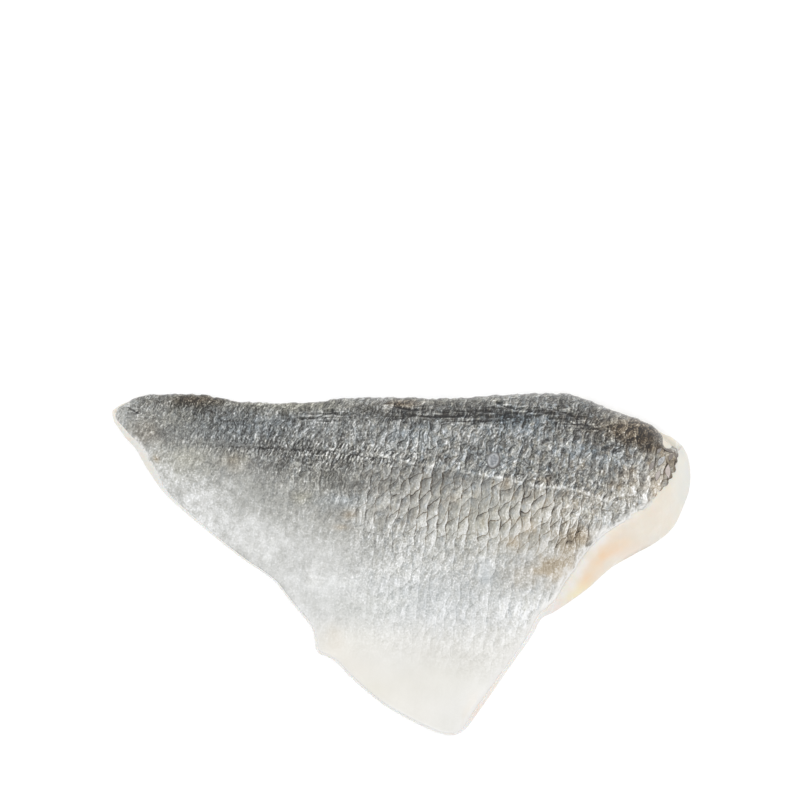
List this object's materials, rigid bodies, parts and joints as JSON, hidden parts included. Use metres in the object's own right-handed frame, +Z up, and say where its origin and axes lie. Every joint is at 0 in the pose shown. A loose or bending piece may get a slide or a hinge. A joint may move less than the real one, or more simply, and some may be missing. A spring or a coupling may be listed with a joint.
{
  "type": "gilthead sea bream fillet",
  "caption": "Raw sea bream fillet lying skin up: thick loin along the back, thin belly flap, silver-grey scaled skin over pale flesh cut on a slant behind the head.",
  "frame": {"origin": "on the resting surface, under the middle of the fillet's box", "axes": "+X from the tail to the head, +Y from the belly to the back, +Z up through the skin"},
  "size_m": [0.18, 0.1068, 0.0176],
  "materials": {
    "flesh": "moist, slightly see-through raw white fish flesh, peach-coloured at the cut",
    "skin": "wet silver fish skin with scale pockets, dark grey at the back and white at the belly"
  },
  "bodies": {
    "root": {"flesh": "flesh", "skin": "skin"}
  },
  "joints": []
}
